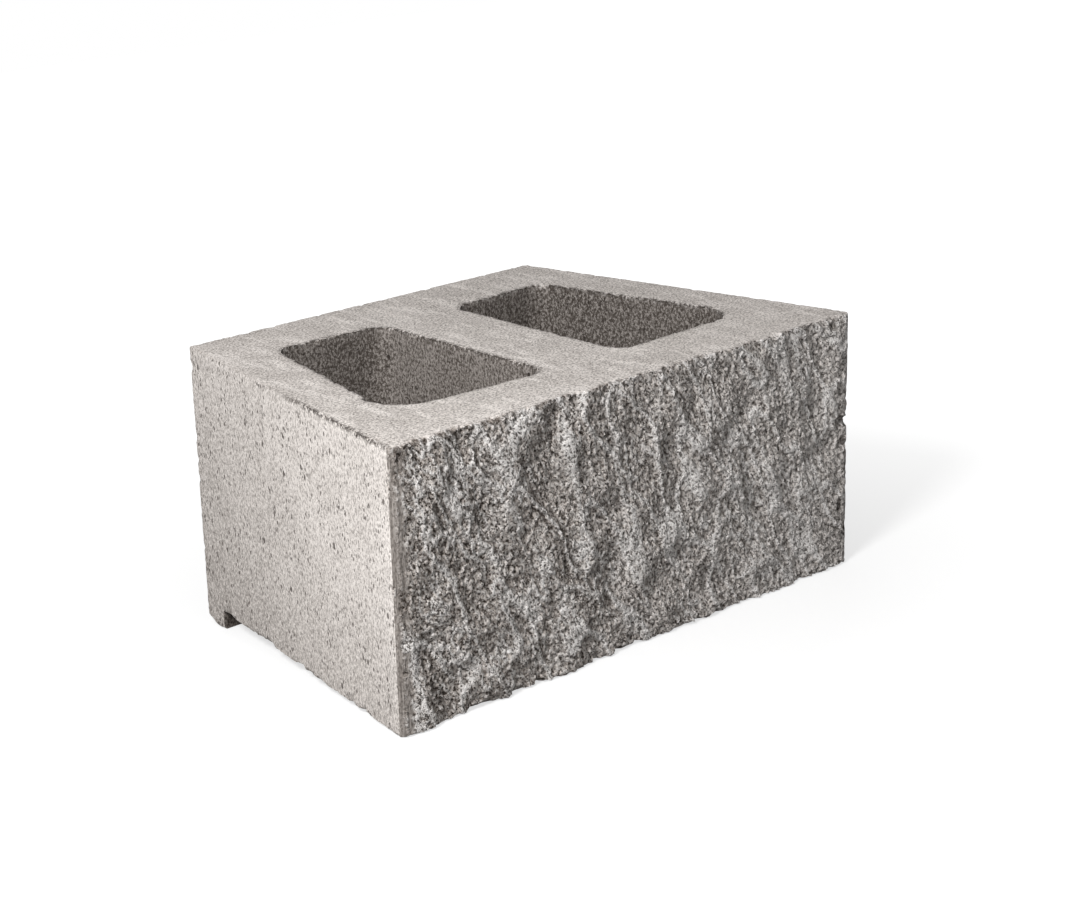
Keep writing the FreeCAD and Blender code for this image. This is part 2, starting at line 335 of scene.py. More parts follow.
def core_distance(p):
    """Distance into the nearer core from its wall, and the way into it."""
    sign = np.where(p[:, 0] < 0, -1.0, 1.0)
    flat = np.stack((np.abs(p[:, 0]), p[:, 1]), axis=1)
    gaps = np.stack([(flat - CORE[i]) @ CORE_OUT[i] for i in range(4)])
    nearest = np.argmax(gaps, axis=0)
    distance = gaps[nearest, np.arange(len(p))]
    normal = CORE_OUT[nearest]
    for i in range(4):
        arm = flat - CORE_CENTRES[i]
        round_here = (arm @ CORE_ALONG[i - 1] > 0) & (arm @ CORE_ALONG[i] < 0)
        length = np.maximum(np.linalg.norm(arm, axis=1), 1e-6)
        distance = np.where(round_here, length - CORE_RADII[i], distance)
        normal = np.where(round_here[:, None], arm / length[:, None], normal)
    into = np.stack((-normal[:, 0] * sign, -normal[:, 1], np.zeros(len(p))), axis=1)
    return (TOP - p[:, 2]) * CORE_DRAFT - distance, into


def under_distance(p):
    """Distance below the bed or, at the rear, out of the lip."""
    y, z = p[:, 1], p[:, 2]
    run, rise = BACK_Y - CHAMFER_Y, CHAMFER_Z
    slope = math.hypot(run, rise)
    parts = np.stack((LIP_Y - y, -z, ((y - CHAMFER_Y) * rise - z * run) / slope))
    normals = np.array(((0, -1, 0), (0, 0, -1), (0, rise / slope, -run / slope)))
    most = np.argmax(parts, axis=0)
    lip = parts[most, np.arange(len(p))]
    bed = BED - z
    in_lip = lip < bed
    normal = np.where(in_lip[:, None], normals[most], np.array((0, 0, -1.0)))
    return np.where(in_lip, lip, bed), normal


# How ragged the edges of each face are: top, side, bevel, back, split, under, core.
RAGGED = np.array((0.35, 0.35, 0.2, 0.5, 1.4, 0.6, 0.95))
SPLIT_FACE = 4


def face_distances(p):
    """Distances outside each face of the block, and the faces' outward normals."""
    n = len(p)
    x, y, z = p.T
    sign = np.where(x < 0, -1.0, 1.0)
    zero = np.zeros(n)
    one = np.ones(n)
    side = (SIDE_RUN / SIDE_LENGTH, SIDE_DRIFT / SIDE_LENGTH)
    half = math.sqrt(0.5)
    # The relief of the split lies within 16 mm of the split line.
    split = np.full(n, -50.0)
    near = y < SPLIT_Y + 16
    split[near] = SPLIT_Y + relief(x[near], z[near]) - y[near]
    core, into = core_distance(p)
    under, down = under_distance(p)
    distances = np.stack((
        z - TOP,
        (np.abs(x) - FACE_HALF) * side[0] + (y - BEVEL_Y) * side[1],
        ((np.abs(x) - FACE_HALF) - (y - BEVEL_Y)) * half,
        y - BACK_Y,
        split,
        under,
        core,
    ))
    normals = np.stack((
        np.stack((zero, zero, one), axis=1),
        np.stack((sign * side[0], side[1] * one, zero), axis=1),
        np.stack((sign * half, -half * one, zero), axis=1),
        np.stack((zero, one, zero), axis=1),
        np.stack((zero, -one, zero), axis=1),
        down,
        into,
    ))
    return distances, normals


# Chips knocked out of the edges: x, y, z, radius.
CHIPS = (
    (230.8, -147.9, 151.0, 6.8),
    (230.8, -147.9, 140.0, 6.6),
    (230.9, -147.9, 132.0, 6.6),
    (229.5, -149.0, 92.0, 4.0),
    (-187.0, 72.0, 13.5, 4.5),
    (-189.0, 60.0, 13.0, 4.0),
    (-190.5, 52.0, 13.5, 4.5),
    (-201.8, -5.0, 12.5, 6.0),
    (-220.0, -100.0, 12.5, 4.0),
    (-60.0, -152.0, 218.0, 5.5),
    (-15.0, -152.5, 13.0, 5.5),
    (15.0, -152.5, 14.0, 5.0),
    (46.0, -152.5, 13.0, 6.5),
    (-175.0, -153.0, 219.0, 5.0),
    (140.0, -152.0, 220.0, 6.0),
    (-34.5, -79.0, 218.5, 3.2),
    (161.0, -72.0, 218.5, 3.0),
    (-120.0, 156.0, 220.0, 6.0),
    (60.0, 156.5, 219.0, 6.0),
    (172.0, 155.0, 60.0, 5.5),
    (-172.5, 156.0, 130.0, 5.0),
    (171.5, 155.5, 216.0, 6.5),
    (100.0, 157.0, 3.0, 5.0),
    (-40.0, 124.5, -1.5, 4.0),
    (206.0, -10.0, 219.5, 5.0),
    (215.0, -60.0, 13.0, 4.5),
)


def wear(p, ragged):
    """How deep an edge is worn there, most on the left top edge and the right bevel."""
    x, y, z = p.T
    to_front = 1 + 1.8 * smooth_step(20, -60, y)
    ragged = np.where((x < -165) & (z > 205), ragged * to_front, ragged)
    ragged = np.where((x > 200) & (y < -135), ragged * 2.4, ragged)
    fine = noise(x / 3.4, y / 3.4, z / 3.4, 21)
    middle = noise(x / 11, y / 11, z / 11, 22)
    large = noise(x / 37, y / 37, z / 37, 23)
    depth = 0.35 + ragged * (0.3 + 0.45 * fine)
    return depth + ragged * 4.0 * np.maximum(0, middle + 0.35 * large - 0.25)


def inset(p):
    """Slight unevenness of the moulded faces, always inwards."""
    x, y, z = p.T
    uneven = 0.1 * noise(x / 48, y / 48, z / 48, 31) + 0.06 * noise(x / 9, y / 9, z / 9, 32)
    return np.maximum(CLEAR, 0.13 + uneven)


def settle(p):
    """Move points onto the worn block, and say how deep they lie below its faces."""
    p = p.copy()
    for _ in range(5):
        distances, normals = face_distances(p)
        flat = inset(p)
        for face in range(len(distances)):
            if face != SPLIT_FACE:
                distances[face] += flat
        order = np.argsort(-distances, axis=0)[:2]
        index = np.arange(len(p))
        first, second = distances[order[0], index], distances[order[1], index]
        normal, other = normals[order[0], index], normals[order[1], index]
        ragged = RAGGED[order[0]] + RAGGED[order[1]]
        outside = first.copy()
        push = normal.copy()
        active = second > -EDGE_REACH
        cut = np.full(len(p), -99.0)
        cut[active] = ((first + second)[active] * math.sqrt(0.5)
                       + wear(p[active], ragged[active]))
        worn = cut > outside
        outside = np.where(worn, cut, outside)
        push = np.where(worn[:, None], (normal + other) * math.sqrt(0.5), push)
        rough = noise(*(p / 3.8).T, 33)
        for cx, cy, cz, radius in CHIPS:
            arm = p - (cx, cy, cz)
            length = np.maximum(np.linalg.norm(arm, axis=1), 1e-6)
            inside = radius * (1 + 0.22 * rough) - length
            bites = inside > outside
            outside = np.where(bites, inside, outside)
            push = np.where(bites[:, None], -arm / length[:, None], push)
        p -= (outside / np.sum(push * push, axis=1))[:, None] * push
    distances, _ = face_distances(p)
    return p, -np.max(distances, axis=0)


class Skin:
    """Vertices, and triangles by patch, of the closed surface."""

    def __init__(self):
        self.points = []
        self.triangles = []
        self.patches = []
        self.edges = {}

    def add(self, points):
        """Add vertices and return their indices."""
        start = len(self.points)
        self.points.extend(np.asarray(points, dtype=float))
        return list(range(start, len(self.points)))

    def edge(self, a, b, inner=None):
        """Indices of the vertices from corner a to corner b, both included."""
        if (b, a) in self.edges:
            return self.edges[b, a][::-1]
        if (a, b) not in self.edges:
            start, end = self.points[a], self.points[b]
            if inner is None:
                steps = max(1, round(float(np.linalg.norm(end - start)) / EDGE_STEP))
                share = np.arange(1, steps)[:, None] / steps
                inner = start * (1 - share) + end * share
            self.edges[a, b] = [a] + self.add(inner) + [b]
        return self.edges[a, b]

    def loop(self, corners):
        """Closed loop of vertices through the corners."""
        around = []
        for a, b in zip(corners, corners[1:] + corners[:1]):
            around += self.edge(a, b)[:-1]
        return around

    def join(self, triangles, patch):
        """Add triangles to a patch."""
        self.triangles.extend(triangles)
        self.patches.extend([patch] * len(triangles))

    def fill(self, loops, flat, lift, steps, patch, seed):
        """Fill the area between loops. flat has each loop's 2-D places, lift makes 3-D."""
        ring = np.concatenate(flat)
        inner = scatter(flat, steps, seed)
        places = np.concatenate((ring, inner))
        ids = sum(loops, []) + self.add(lift(inner))
        bounds = []
        start = 0
        for places_2d in flat:
            count = len(places_2d)
            bounds += [(start + i, start + (i + 1) % count) for i in range(count)]
            start += count
        result = delaunay_2d_cdt([Vector(q) for q in places], bounds, [], 0, 1e-6)
        corners = [ids[origin[0]] for origin in result[3]]
        faces = np.array(result[2])
        flat_places = np.array([tuple(v) for v in result[0]])
        middle = flat_places[faces].mean(axis=1)
        # Slivers along a straight edge have no area and are dropped.
        first, second = (flat_places[faces[:, i]] - flat_places[faces[:, 0]] for i in (1, 2))
        doubled = np.abs(first[:, 0] * second[:, 1] - first[:, 1] * second[:, 0])
        keep = faces[inside(middle, flat) & (doubled > 1e-4)]
        self.join([[corners[i] for i in face] for face in keep], patch)


def inside(points, loops):
    """Even-odd test of 2-D points against all the loops."""
    crossings = np.zeros(len(points), dtype=int)
    x, y = points.T
    for loop in loops:
        ends = np.roll(loop, -1, axis=0)
        for (x0, y0), (x1, y1) in zip(loop, ends):
            if y0 == y1:
                continue
            spans = (y0 > y) != (y1 > y)
            crossings += spans & (x < (x1 - x0) * (y - y0) / (y1 - y0) + x0)
    return crossings % 2 == 1


def scatter(loops, steps, seed):
    """Spread points between the loops, closer together near them."""
    edge = np.concatenate(loops)
    tree = KDTree(len(edge))
    for i, place in enumerate(edge):
        tree.insert((place[0], place[1], 0), i)
    tree.balance()
    draw = np.random.default_rng(seed)
    low, high = edge.min(axis=0), edge.max(axis=0)
    kept = []
    for step, nearest, furthest in steps:
        xs = np.arange(low[0] + step / 2, high[0], step)
        ys = np.arange(low[1] + step / 2, high[1], step * 0.9)
        grid_x, grid_y = np.meshgrid(xs, ys)
        grid_x[1::2] += step / 2
        spots = np.stack((grid_x.ravel(), grid_y.ravel()), axis=1)
        spots += draw.uniform(-0.16, 0.16, spots.shape) * step
        spots = spots[inside(spots, loops)]
        gaps = np.array([tree.find((q[0], q[1], 0))[2] for q in spots])
        kept.append(spots[(gaps > nearest) & (gaps <= furthest)])
    return np.concatenate(kept)


skin = Skin()

# Corners of the outside: s where split and bevel meet, b bevel and side, f lip
# front, c lip chamfer, k back; L and R; t top, m bed, u underside of the lip.
PLAN = {
    "s": (SPLIT_HALF, SPLIT_Y),
    "b": (FACE_HALF, BEVEL_Y),
    "f": (side_at(LIP_Y), LIP_Y),
    "c": (side_at(CHAMFER_Y), CHAMFER_Y),
    "k": (BACK_HALF, BACK_Y),
}
LEVELS = {"s": "tm", "b": "tm", "f": "mu", "c": "u", "k": "tu"}
HEIGHTS = {"t": TOP, "m": BED, "u": 0.0}
corner = {}
for letter, (x, y) in PLAN.items():
    for hand, sign in (("L", -1), ("R", 1)):
        for level in LEVELS[letter]:
            z = HEIGHTS[level]
            if letter == "k" and level == "u":
                z = CHAMFER_Z
            place = np.array([(sign * x, y, z)])
            if letter == "s":
                place = on_split(np.array([sign * x]), np.array([z]))
            corner[letter + hand + level] = skin.add(place)[0]

COLUMNS = round(2 * SPLIT_HALF / SPLIT_STEP)
ROWS = round((TOP - BED) / SPLIT_STEP)
column_x = np.linspace(-SPLIT_HALF, SPLIT_HALF, COLUMNS + 1)
row_z = np.linspace(BED, TOP, ROWS + 1)


def ids(*names):
    """Indices of the named corners."""
    return [corner[name] for name in names]


for level in "mt":
    height = np.full(COLUMNS - 1, HEIGHTS[level])
    skin.edge(*ids("sL" + level, "sR" + level), on_split(column_x[1:-1], height))
for hand, x in (("L", -SPLIT_HALF), ("R", SPLIT_HALF)):
    skin.edge(*ids(f"s{hand}m", f"s{hand}t"), on_split(np.full(ROWS - 1, x), row_z[1:-1]))


def split_patch():
    """Lay the close grid of the split face between its four edges."""
    grid = np.zeros((COLUMNS + 1, ROWS + 1), dtype=int)
    grid[:, 0] = skin.edge(*ids("sLm", "sRm"))
    grid[:, -1] = skin.edge(*ids("sLt", "sRt"))
    grid[0] = skin.edge(*ids("sLm", "sLt"))
    grid[-1] = skin.edge(*ids("sRm", "sRt"))
    draw = np.random.default_rng(41)
    x, z = np.meshgrid(column_x[1:-1], row_z[1:-1], indexing="ij")
    x = x + draw.uniform(-0.28, 0.28, x.shape)
    z = z + draw.uniform(-0.28, 0.28, z.shape)
    inner = skin.add(on_split(x.ravel(), z.ravel()))
    grid[1:-1, 1:-1] = np.reshape(inner, x.shape)
    a, b = grid[:-1, :-1].ravel(), grid[1:, :-1].ravel()
    c, d = grid[1:, 1:].ravel(), grid[:-1, 1:].ravel()
    flip = draw.random(len(a)) < 0.5
    first = np.where(flip[:, None], np.stack((a, b, c), 1), np.stack((a, b, d), 1))
    second = np.where(flip[:, None], np.stack((a, c, d), 1), np.stack((b, c, d), 1))
    skin.join(np.concatenate((first, second)).tolist(), "split")


def plane_patch(loops, origin, across, up, patch, seed):
    """Fill a flat patch. across and up are its axes."""
    origin, across, up = (np.array(v, dtype=float) for v in (origin, across, up))
    flat = []
    for loop in loops:
        arms = np.array([skin.points[i] for i in loop]) - origin
        flat.append(np.stack((arms @ across, arms @ up), axis=1))

    def lift(places):
        return origin + places[:, :1] * across + places[:, 1:] * up

    skin.fill(loops, flat, lift, FLAT_STEPS, patch, seed)


def core_outline():
    """Places round the right core at the top bed, with outward directions."""
    places, outward = [], []
    for i in range(4):
        nxt = (i + 1) % 4
        start = CORE_CENTRES[i] + CORE_OUT[i] * CORE_RADII[i]
        end = CORE_CENTRES[nxt] + CORE_OUT[i] * CORE_RADII[nxt]
        steps = round(float(np.linalg.norm(end - start)) / EDGE_STEP)
        for s in range(steps):
            places.append(start + (end - start) * s / steps)
            outward.append(CORE_OUT[i])
        turn = math.atan2(*CORE_OUT[nxt][::-1]) - math.atan2(*CORE_OUT[i][::-1])
        turn %= math.tau
        steps = round(turn * CORE_RADII[nxt] / EDGE_STEP)
        first = math.atan2(*CORE_OUT[i][::-1])
        for s in range(steps):
            angle = first + turn * s / steps
            direction = np.array((math.cos(angle), math.sin(angle)))
            places.append(CORE_CENTRES[nxt] + direction * CORE_RADII[nxt])
            outward.append(direction)
    return np.array(places), np.array(outward)


def core_patch(hand, seed):
    """Make one core's wall, and return its rims at the top and at the bed.

    The wall is unrolled from a seam, which both ends of its outline share.
    """
    places, outward = core_outline()
    mirror = np.array((hand, 1.0))
    steps = np.linalg.norm(np.roll(places, -1, axis=0) - places, axis=1)
    reach = np.concatenate(((0.0,), np.cumsum(steps)))
    length = reach[-1]

    def at(run, z):
        spread = (TOP - z)[:, None] * CORE_DRAFT
        closed = np.concatenate((places, places[:1]))
        ways = np.concatenate((outward, outward[:1]))
        flat = np.stack([np.interp(run, reach, closed[:, a]) for a in (0, 1)], axis=1)
        way = np.stack([np.interp(run, reach, ways[:, a]) for a in (0, 1)], axis=1)
        return np.column_stack(((flat + way * spread) * mirror, z))

    rims = []
    for z in (TOP, BED):
        rims.append(skin.add(at(reach[:-1], np.full(len(places), z))))
    seam_z = np.linspace(TOP, BED, round((TOP - BED) / EDGE_STEP) + 1)[1:-1]
    seam = skin.add(at(np.zeros(len(seam_z)), seam_z))
    flat = np.concatenate((
        np.column_stack((reach, np.full(len(reach), TOP))),
        np.column_stack((np.full(len(seam_z), length), seam_z)),
        np.column_stack((reach[::-1], np.full(len(reach), BED))),
        np.column_stack((np.zeros(len(seam_z)), seam_z[::-1])),
    ))
    loop = rims[0] + [rims[0][0]] + seam + [rims[1][0]] + rims[1][::-1] + seam[::-1]
    skin.fill([loop], [flat], lambda q: at(q[:, 0], q[:, 1]), CORE_STEPS, "core", seed)
    return rims


X_WAY, Y_WAY, Z_WAY = (1, 0, 0), (0, 1, 0), (0, 0, 1)

split_patch()
right_rims = core_patch(1.0, 51)
left_rims = core_patch(-1.0, 52)

top = skin.loop(ids("sLt", "sRt", "bRt", "kRt", "kLt", "bLt"))
plane_patch([top, right_rims[0], left_rims[0]], (0, 0, TOP), X_WAY, Y_WAY, "bed", 61)
bed = skin.loop(ids("sLm", "sRm", "bRm", "fRm", "fLm", "bLm"))
plane_patch([bed, right_rims[1], left_rims[1]], (0, 0, BED), X_WAY, Y_WAY, "bed", 62)
for hand, sign, seed in (("L", -1, 63), ("R", 1, 64)):
    names = [letter + hand + level for letter, level in
             (("b", "m"), ("f", "m"), ("f", "u"), ("c", "u"), ("k", "u"), ("k", "t"), ("b", "t"))]
    along = (-sign * SIDE_DRIFT / SIDE_LENGTH, SIDE_RUN / SIDE_LENGTH, 0)
    origin = (sign * FACE_HALF, BEVEL_Y, 0)
    plane_patch([skin.loop(ids(*names))], origin, along, Z_WAY, "side", seed)
    names = [letter + hand + level for letter, level in
             (("s", "m"), ("b", "m"), ("b", "t"), ("s", "t"))]
    along = (sign * math.sqrt(0.5), math.sqrt(0.5), 0)
    plane_patch([skin.loop(ids(*names))], origin, along, Z_WAY, "bevel", seed + 2)

# The back, and the lip's front, underside and chamfer.
slope = math.hypot(BACK_Y - CHAMFER_Y, CHAMFER_Z)
chamfer_up = (0, (BACK_Y - CHAMFER_Y) / slope, CHAMFER_Z / slope)
for names, y, up, patch, seed in (
        (("kRu", "kLu", "kLt", "kRt"), BACK_Y, Z_WAY, "side", 67),
        (("fLu", "fRu", "fRm", "fLm"), LIP_Y, Z_WAY, "lip_shade", 68),
        (("fLu", "fRu", "cRu", "cLu"), 0, Y_WAY, "side", 69),
        (("cLu", "cRu", "kRu", "kLu"), CHAMFER_Y, chamfer_up, "side", 70)):
    plane_patch([skin.loop(ids(*names))], (0, y, 0), X_WAY, up, patch, seed)

points = np.array(skin.points)
patches = np.array(skin.patches)
triangles = np.array(skin.triangles)

# Wear the edges. The inner part of the split already lies where it belongs.
of_split = np.zeros(len(points), dtype=bool)
of_split[triangles[patches == "split"].ravel()] = True
rim_gap = np.minimum(TOP - points[:, 2], points[:, 2] - BED)
rim_gap = np.minimum(rim_gap, SPLIT_HALF - np.abs(points[:, 0]))
moving = ~(of_split & (rim_gap > EDGE_REACH))
depth = np.zeros(len(points))
points[moving], depth[moving] = settle(points[moving])
points[:, 1] = np.minimum(points[:, 1], BACK_Y - CLEAR)
points[:, 2] = np.clip(points[:, 2], CLEAR, TOP - CLEAR)

# Broken concrete shows where an edge is worn, on the split, and over the right bevel.
broken = smooth_step(0.35, 1.1, depth)
zero = np.zeros(len(points))
to_bevel = SPLIT_HALF - np.abs(points[:, 0])
to_bevel += 2.2 * noise(points[:, 0] / 5, zero, points[:, 2] / 7, 71)
broken[of_split] = np.maximum(broken[of_split], smooth_step(1.5, 6.5, to_bevel[of_split]))
broken[(points[:, 0] > SPLIT_HALF - 12) & (points[:, 1] < BEVEL_Y + 0.5)] = 1

# Crumbled rims: the left side's top edge towards the front, and the cores' top edges.
under_top = TOP - points[:, 2]
beside = np.abs(side_at(points[:, 1]) + points[:, 0])
crumbled = smooth_step(4.5, 1.0, np.hypot(under_top, beside)) * smooth_step(40, -40, points[:, 1])
at_core = smooth_step(4.0, 1.0, np.hypot(under_top, core_distance(points)[0]))
crumbled = np.maximum(crumbled, at_core)

# How far the split stands in front of its surroundings, for painted highlights on its crests and
# painted shade in its hollows.
local = np.zeros(len(points))
face_x, face_z = points[of_split, 0], points[of_split, 2]
reach = 3.4
ways = ((1, 0), (-1, 0), (0, 1), (0, -1), (0.7, 0.7), (-0.7, 0.7), (0.7, -0.7), (-0.7, -0.7))
around = [relief(np.clip(face_x + dx * reach, -SPLIT_HALF, SPLIT_HALF),
                 np.clip(face_z + dz * reach, BED, TOP)) for dx, dz in ways]
local[of_split] = np.mean(around, axis=0) - (points[of_split, 1] - SPLIT_Y)

# Painted highlights along the crests of the ridges, in places, and along the crests listed above.
crest_highlight = np.zeros(len(points))
sway_x, sway_z, face_across, face_along = lean_axes(face_x, face_z)
wide, narrow = ridges(face_across, face_along)
patchy = noise(face_x / 27, np.zeros(len(face_x)), face_z / 41, 72)
crest_highlight[of_split] = np.maximum(
    smooth_step(0.84, 0.96, wide) * smooth_step(-0.6, 0.0, patchy),
    0.9 * smooth_step(0.76, 0.94, narrow) * smooth_step(-0.1, 0.4, -patchy))
for path, *_ in CRESTS:
    crest_highlight[of_split] = np.maximum(crest_highlight[of_split], crest(sway_x, sway_z, path, 1.0, 2.2, 2.2))

# How steeply the split's main forms face left, towards the lamp, for painted highlights on them
# and painted shade where they turn away.
slope_to_lamp = np.zeros(len(points))
slope_to_lamp[of_split] = (coarse(face_x - 4, face_z) - coarse(face_x + 4, face_z)) / 8

mesh = bpy.data.meshes.new("wall_block")
mesh.from_pydata((points * MM).tolist(), [], triangles.tolist())
edit = bmesh.new()
edit.from_mesh(mesh)
bmesh.ops.recalc_face_normals(edit, faces=edit.faces)
edit.to_mesh(mesh)
edit.free()
layers = {"broken": broken, "crest": np.clip(local, -4, 4), "crumbled": crumbled,
          "slope_to_lamp": slope_to_lamp, "crest_highlight": crest_highlight}
for name, values in layers.items():
    layer = mesh.attributes.new(name, "FLOAT", "POINT")
    layer.data.foreach_set("value", values.astype(np.float32))

MATERIALS = ("side", "bed", "bevel", "core", "lip_shade", "split")
index = np.array([MATERIALS.index(p) for p in patches], dtype=np.int32)
mesh.polygons.foreach_set("material_index", index)
mesh.polygons.foreach_set("use_smooth", np.ones(len(index), dtype=bool))
mesh.set_sharp_from_angle(angle=math.radians(52))
block = bpy.data.objects.new("wall_block", mesh)
bpy.context.collection.objects.link(block)


class Shader:
    """A material's node tree, built from sockets."""

    def __init__(self, name):
        self.material = bpy.data.materials.new(name)
        self.material.use_nodes = True
        self.tree = self.material.node_tree
        self.tree.nodes.clear()

    def fill(self, socket, value):
        """Link a socket to another one, or give it a value."""
        if isinstance(value, bpy.types.NodeSocket):
            self.tree.links.new(value, socket)
        else:
            socket.default_value = value

    def node(self, kind, inputs=None, **settings):
        """Add a node with its inputs, by name or number, and its settings."""
        node = self.tree.nodes.new("ShaderNode" + kind)
        for name, value in settings.items():
            setattr(node, name, value)
        for name, value in (inputs or {}).items():
            self.fill(node.inputs[name], value)
        return node

    def math(self, operation, *values, clamp=False):
        """Number worked out from others."""
        inputs = dict(enumerate(values))
        return self.node("Math", inputs, operation=operation, use_clamp=clamp).outputs[0]

    def span(self, value, low, high, out_low=0.0, out_high=1.0):
        """Map low to high onto another span, and stay within it."""
        inputs = {"Value": value, "From Min": low, "From Max": high,
                  "To Min": out_low, "To Max": out_high}
        return self.node("MapRange", inputs).outputs[0]

    def mix(self, factor, first, second):
        """Colour between two others."""
        node = self.node("Mix", None, data_type="RGBA")
        for number, value in ((0, factor), (6, first), (7, second)):
            self.fill(node.inputs[number], value)
        return node.outputs[2]

    def own(self, kind="Object"):
        """Coordinates in the object's own frame, or its Normal."""
        return self.node("TexCoord").outputs[kind]

    def axes(self, vector):
        """The X, Y and Z of a vector."""
        return self.node("SeparateXYZ", {0: vector}).outputs

    def place(self, size, stretch, lean):
        """Object coordinates in units of size, stretched, and leaning about Y."""
        place = self.own()
        if lean:
            inputs = {"Vector": place, "Angle": math.radians(lean)}
            place = self.node("VectorRotate", inputs, rotation_type="Y_AXIS").outputs[0]
        scale = tuple(1.0 / (size * MM * s) for s in stretch)
        return self.node("Mapping", {"Vector": place, "Scale": scale}).outputs[0]

    def noise(self, size, detail=2.0, stretch=(1, 1, 1), roughness=0.5, lean=0):
        """Noise with features of a size in millimetres."""
        inputs = {"Vector": self.place(size, stretch, lean), "Scale": 1.0, "Detail": detail,
                  "Roughness": roughness}
        return self.node("TexNoise", inputs).outputs[0]

    def cells(self, size, stretch=(1, 1, 1), lean=0):
        """Voronoi cells of a size in millimetres."""
        return self.node("TexVoronoi", {"Vector": self.place(size, stretch, lean), "Scale": 1.0})

    def attribute(self, name):
        """Value that the mesh holds at its points."""
        return self.node("Attribute", None, attribute_name=name).outputs["Fac"]

    def finish(self, colour, height, distance, roughness):
        """Make the surface, with a bump of a height times a distance in metres."""
        inputs = {"Height": height, "Distance": distance, "Strength": 1.0}
        bump = self.node("Bump", inputs).outputs[0]
        inputs = {"Base Color": colour, "Normal": bump, "Roughness": roughness,
                  "Specular IOR Level": 0.25}
        surface = self.node("BsdfPrincipled", inputs)
        self.node("OutputMaterial", {"Surface": surface.outputs[0]})
        return self.material


def grey(value, warmth=1.0):
    """Linear warm grey from an sRGB level of 0 to 255."""
    levels = (value + 5.5 * warmth, value - 1.5 * warmth, value - 7.0 * warmth)
    linear = [((v / 255 + 0.055) / 1.055) ** 2.4 for v in levels]
    return (*linear, 1.0)


def pores(s, size, stretch, share, widest):
    """Holes of a mean spacing: 1 in a hole. share of the cells have one."""
    grid = s.cells(size, stretch)
    colour = s.node("SeparateColor", {"Color": grid.outputs["Color"]})
    chosen = s.math("LESS_THAN", colour.outputs[0], share)
    width = s.span(colour.outputs[1], 0, 1, widest * 0.45, widest)
    outwards = s.math("DIVIDE", grid.outputs["Distance"], width)
    inwards = s.math("SUBTRACT", 1.0, outwards, clamp=True)
    deep = s.math("MULTIPLY", inwards, 3.0, clamp=True)
    return s.math("MULTIPLY", deep, chosen)


# Pale stones that show on the split: x, z, radius.
SPECKS = (
    (-90, 95, 2.0),
    (-133, 49, 1.8),
    (-25, 98, 1.5),
    (-195, 213, 2.2),
)


